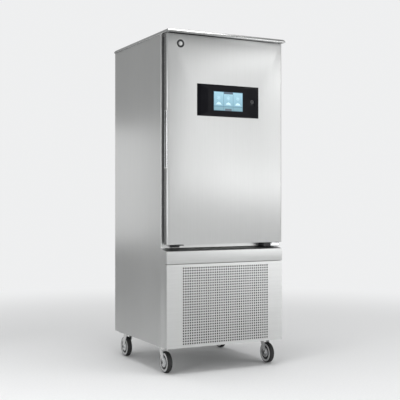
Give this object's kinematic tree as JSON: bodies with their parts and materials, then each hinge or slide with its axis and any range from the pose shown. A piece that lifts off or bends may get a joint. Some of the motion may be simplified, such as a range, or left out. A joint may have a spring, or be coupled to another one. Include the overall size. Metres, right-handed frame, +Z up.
{
  "type": "blast chiller",
  "caption": "Upright stainless blast chiller on swivel castors: hinged insulated door with black glass touch controls above a perforated machine compartment, tray racks and fans inside.",
  "frame": {"origin": "on the floor under the middle of the outline, where the tyres stand", "axes": "+Z up; -Y is the front with the door; +X is the hinge side, to the right as seen from the front"},
  "size_m": [0.79, 0.828, 1.98],
  "materials": {
    "brushed_steel": "satin",
    "bright_steel": "polished",
    "zinc_steel": "satin",
    "black_steel": "satin",
    "fin_aluminium": "satin",
    "copper": "satin",
    "foam": "matte",
    "black_plastic": "matte",
    "grey_plastic": "matte",
    "black_rubber": "matte",
    "grey_tyre": "matte",
    "wheel_plastic": "satin",
    "black_glass": "gloss",
    "screen_glass": "gloss"
  },
  "bodies": {
    "cabinet": {"left_side_panel": "brushed_steel", "right_side_panel": "brushed_steel", "rear_panel": "brushed_steel", "top_cover": "brushed_steel", "base_pan": "brushed_steel", "cabinet_insulation": "foam", "chamber_liner": "brushed_steel", "front_frame": "brushed_steel", "fascia_frame": "brushed_steel", "front_grille_panel": "brushed_steel", "left_tray_rack": "bright_steel", "right_tray_rack": "bright_steel", "air_baffle": "brushed_steel", "evaporator_coil": "fin_aluminium", "evaporator_fan_motors": "black_steel", "evaporator_fan_guards": "bright_steel", "evaporator_drip_tray": "brushed_steel", "compressor": "black_steel", "compressor_mounts": "black_rubber", "condenser_coil": "fin_aluminium", "condenser_shroud": "black_steel", "condenser_fan_motor": "black_steel", "liquid_receiver": "black_steel", "filter_drier": "copper", "refrigerant_pipes": "copper", "electrical_box": "grey_plastic", "condensate_tray": "black_plastic", "cable_gland": "black_plastic", "hinge_brackets": "bright_steel", "hinge_pins": "bright_steel", "hinge_cover": "black_plastic", "door_switch": "black_plastic", "castor_plates": "zinc_steel"},
    "upper_evaporator_fan": {"upper_evaporator_fan": "black_plastic"},
    "lower_evaporator_fan": {"lower_evaporator_fan": "black_plastic"},
    "condenser_fan": {"condenser_fan": "black_plastic"},
    "door": {"door_skin": "brushed_steel", "door_insulation": "foam", "door_inner_frame": "black_plastic", "door_liner": "brushed_steel", "door_gasket": "black_rubber", "handle_cup": "bright_steel", "control_glass": "black_glass", "touch_screen": "screen_glass", "control_housing": "black_plastic", "door_badge": "bright_steel", "hinge_bushes": "black_plastic"},
    "power_button": {"power_button": "grey_plastic"},
    "front_left_castor": {"front_left_fork": "zinc_steel"},
    "front_left_roller": {"front_left_wheel": "wheel_plastic", "front_left_tyre": "grey_tyre"},
    "front_right_castor": {"front_right_fork": "zinc_steel"},
    "front_right_roller": {"front_right_wheel": "wheel_plastic", "front_right_tyre": "grey_tyre"},
    "rear_left_castor": {"rear_left_fork": "zinc_steel"},
    "rear_left_roller": {"rear_left_wheel": "wheel_plastic", "rear_left_tyre": "grey_tyre"},
    "rear_right_castor": {"rear_right_fork": "zinc_steel"},
    "rear_right_roller": {"rear_right_wheel": "wheel_plastic", "rear_right_tyre": "grey_tyre"}
  },
  "joints": [
    {"name": "door_hinge", "type": "hinge", "parent": "cabinet", "child": "door", "pos_m": [0.366, -0.362, 0.749], "axis": [0, 0, 1], "range_deg": [0, 110]},
    {"name": "power_button_press", "type": "slide", "parent": "door", "child": "power_button", "axis": [0, 1, 0], "range_m": [0, 0.0015], "stiffness_N_per_m": 800, "springref_m": -0.002},
    {"name": "upper_fan_spin", "type": "hinge", "parent": "cabinet", "child": "upper_evaporator_fan", "pos_m": [0, 0.19, 1.59082], "axis": [0, 1, 0], "continuous": true},
    {"name": "lower_fan_spin", "type": "hinge", "parent": "cabinet", "child": "lower_evaporator_fan", "pos_m": [0, 0.19, 1.10068], "axis": [0, 1, 0], "continuous": true},
    {"name": "condenser_fan_spin", "type": "hinge", "parent": "cabinet", "child": "condenser_fan", "pos_m": [-0.04, -0.19, 0.387], "axis": [0, 1, 0], "continuous": true},
    {"name": "front_left_swivel", "type": "hinge", "parent": "cabinet", "child": "front_left_castor", "pos_m": [-0.345, -0.251, 0.143], "axis": [0, 0, 1], "continuous": true},
    {"name": "front_left_roll", "type": "hinge", "parent": "front_left_castor", "child": "front_left_roller", "pos_m": [-0.345, -0.281, 0.0625], "axis": [1, 0, 0], "continuous": true},
    {"name": "front_right_swivel", "type": "hinge", "parent": "cabinet", "child": "front_right_castor", "pos_m": [0.345, -0.251, 0.143], "axis": [0, 0, 1], "continuous": true},
    {"name": "front_right_roll", "type": "hinge", "parent": "front_right_castor", "child": "front_right_roller", "pos_m": [0.345, -0.281, 0.0625], "axis": [1, 0, 0], "continuous": true},
    {"name": "rear_left_swivel", "type": "hinge", "parent": "cabinet", "child": "rear_left_castor", "pos_m": [-0.345, 0.292, 0.143], "axis": [0, 0, 1], "continuous": true},
    {"name": "rear_left_roll", "type": "hinge", "parent": "rear_left_castor", "child": "rear_left_roller", "pos_m": [-0.345, 0.322, 0.0625], "axis": [1, 0, 0], "continuous": true},
    {"name": "rear_right_swivel", "type": "hinge", "parent": "cabinet", "child": "rear_right_castor", "pos_m": [0.345, 0.292, 0.143], "axis": [0, 0, 1], "continuous": true},
    {"name": "rear_right_roll", "type": "hinge", "parent": "rear_right_castor", "child": "rear_right_roller", "pos_m": [0.345, 0.322, 0.0625], "axis": [1, 0, 0], "continuous": true}
  ]
}
